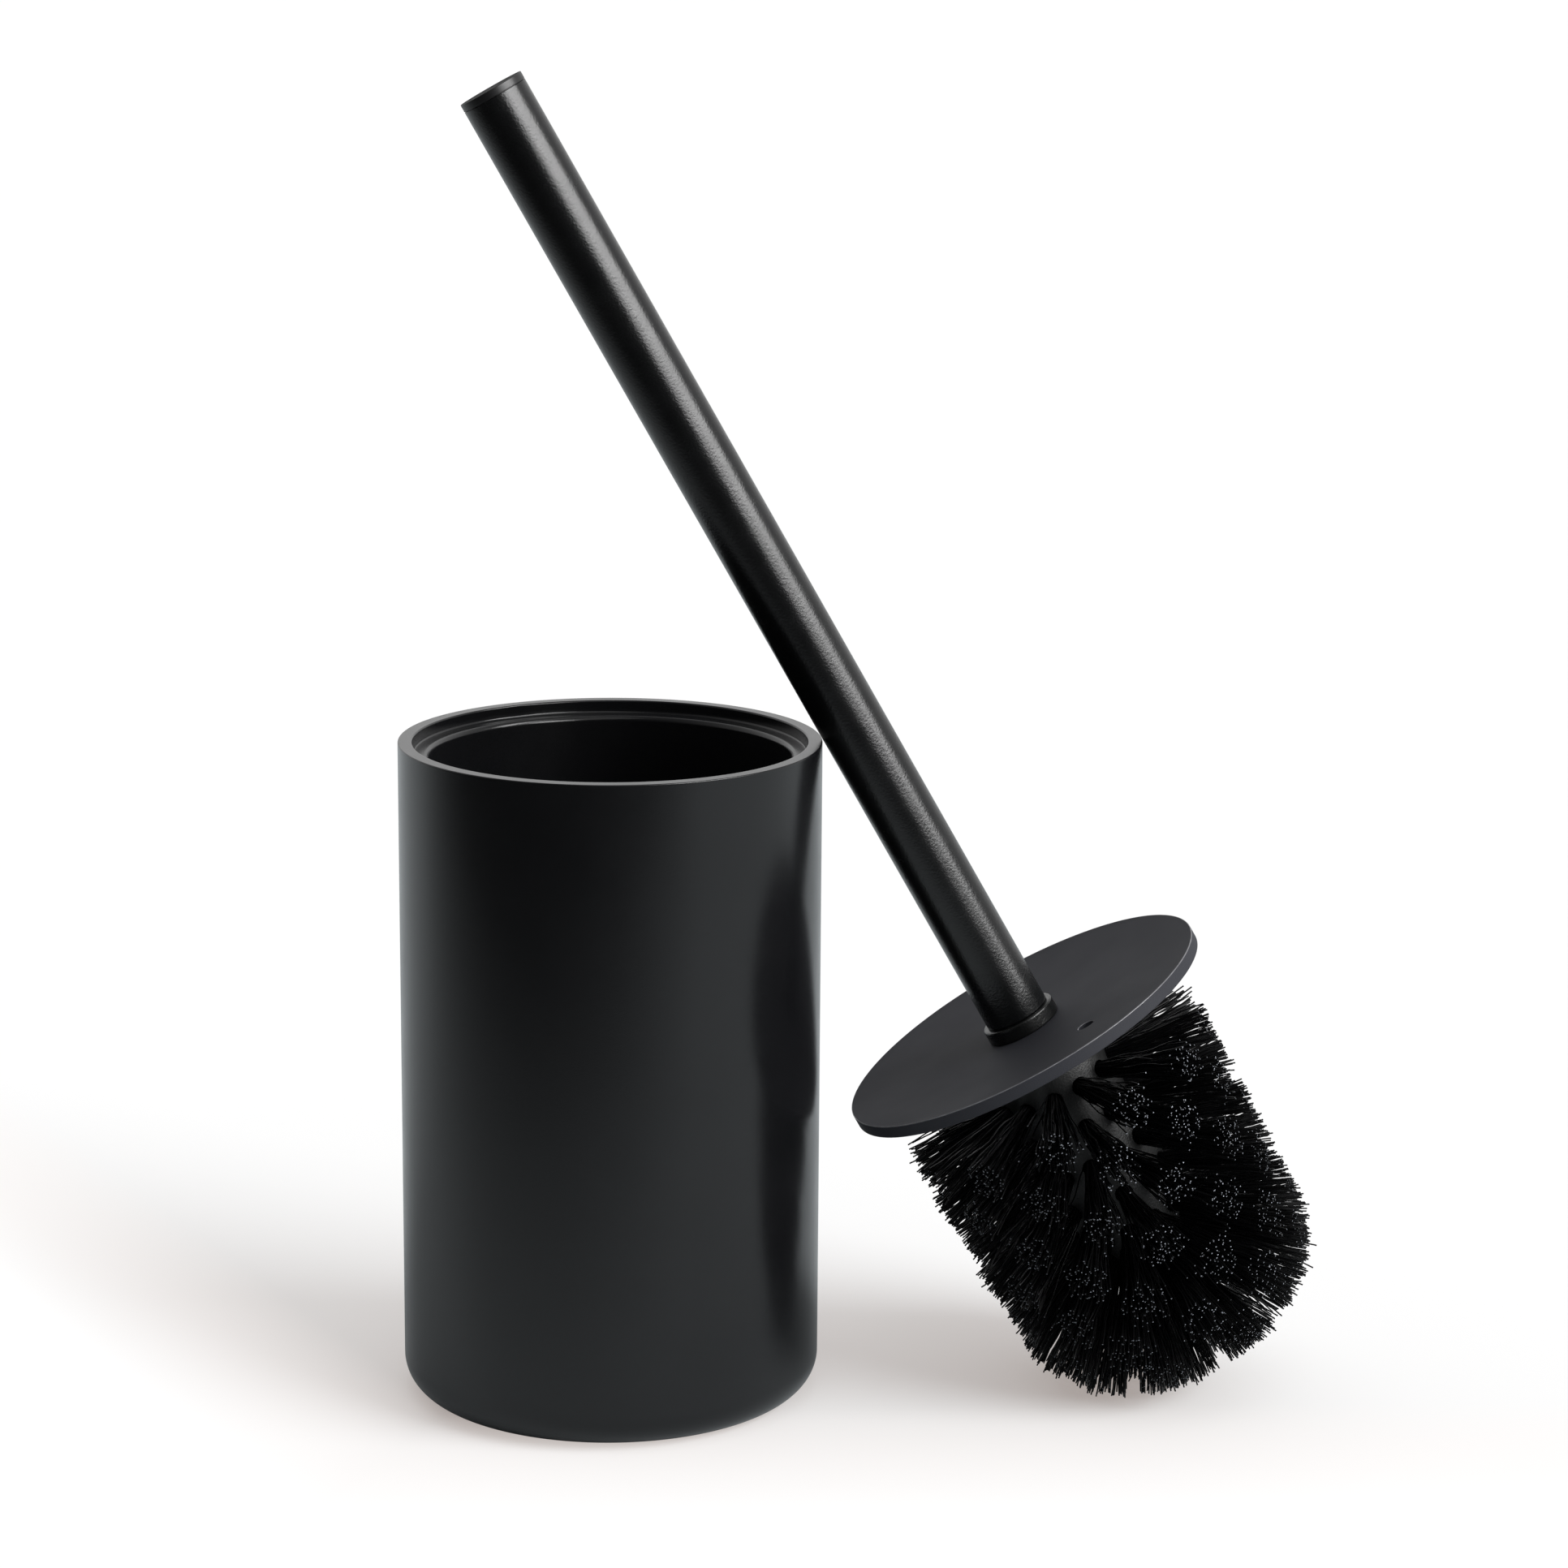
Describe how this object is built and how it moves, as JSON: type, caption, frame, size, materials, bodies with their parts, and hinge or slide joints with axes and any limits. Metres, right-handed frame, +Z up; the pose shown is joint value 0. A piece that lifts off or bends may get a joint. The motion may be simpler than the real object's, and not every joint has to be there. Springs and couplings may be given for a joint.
{
  "type": "toilet brush holder",
  "caption": "Round open cup with a lid ledge, and a brush with a tube handle, a disc lid and a tufted head, leaning on the cup's rim.",
  "frame": {"origin": "centre of the cup's foot, on the floor", "axes": "+Z up along the cup's axis; the brush leans in the XZ plane with its head on the floor at +X and its handle pointing up to -X; the pictured side is -Y"},
  "size_m": [0.2184, 0.1, 0.315],
  "materials": {
    "cup_plastic": "matte black, fine moulded texture",
    "pad_rubber": "matte black foam rubber",
    "powder_coat": "satin black powder coat on a thin steel tube",
    "cap_plastic": "satin black moulded",
    "bush_plastic": "semi-gloss black moulded",
    "lid_rubber": "matte dark grey, slightly dusty",
    "core_plastic": "glossy black moulded",
    "bristle": "black nylon filaments with cut ends"
  },
  "bodies": {
    "cup": {"cup_body": "cup_plastic", "base_pad": "pad_rubber"},
    "handle": {"handle_tube": "powder_coat", "handle_cap": "cap_plastic", "thread_bush": "bush_plastic"},
    "lid": {"lid_disc": "lid_rubber"},
    "head": {"head_core": "core_plastic", "tuft_ring1_01": "bristle", "tuft_ring1_02": "bristle", "tuft_ring1_03": "bristle", "tuft_ring1_04": "bristle", "tuft_ring1_05": "bristle", "tuft_ring1_06": "bristle", "tuft_ring1_07": "bristle", "tuft_ring1_08": "bristle", "tuft_ring1_09": "bristle", "tuft_ring1_10": "bristle", "tuft_ring1_11": "bristle", "tuft_ring1_12": "bristle", "tuft_ring3_01": "bristle", "tuft_ring3_02": "bristle", "tuft_ring3_03": "bristle", "tuft_ring3_04": "bristle", "tuft_ring3_05": "bristle", "tuft_ring3_06": "bristle", "tuft_ring3_07": "bristle", "tuft_ring3_08": "bristle", "tuft_ring3_09": "bristle", "tuft_ring3_10": "bristle", "tuft_ring3_11": "bristle", "tuft_ring3_12": "bristle", "tuft_ring5_01": "bristle", "tuft_ring5_02": "bristle", "tuft_ring5_03": "bristle", "tuft_ring5_04": "bristle", "tuft_ring5_05": "bristle", "tuft_ring5_06": "bristle", "tuft_ring5_07": "bristle", "tuft_ring5_08": "bristle", "tuft_ring5_09": "bristle", "tuft_ring5_10": "bristle", "tuft_ring5_11": "bristle", "tuft_ring5_12": "bristle", "tuft_ring7_01": "bristle", "tuft_ring7_02": "bristle", "tuft_ring7_03": "bristle", "tuft_ring7_04": "bristle", "tuft_ring7_05": "bristle", "tuft_ring7_06": "bristle", "tuft_ring7_07": "bristle", "tuft_ring7_08": "bristle", "tuft_ring7_09": "bristle", "tuft_ring7_10": "bristle", "tuft_ring8_01": "bristle", "tuft_ring8_02": "bristle", "tuft_ring8_03": "bristle", "tuft_ring8_04": "bristle", "tuft_ring8_05": "bristle", "tuft_ring8_06": "bristle", "tuft_tip": "bristle"}
  },
  "joints": [
    {"name": "brush_lift", "type": "slide", "parent": "cup", "child": "handle", "axis": [0, 0, 1], "range_m": [0, 0.3]},
    {"name": "lid_slide", "type": "slide", "parent": "handle", "child": "lid", "axis": [0.4941, 0, -0.8694], "range_m": [0, 0.0122]},
    {"name": "head_unscrew", "type": "hinge", "parent": "lid", "child": "head", "pos_m": [0.09914, 0, 0.08916], "axis": [0.4941, 0, -0.8694], "range_deg": [0, 2160]}
  ],
  "couplings": [
    {"joint": "lid_slide", "follows": "head_unscrew", "m_per_rad": 0.00031831}
  ]
}
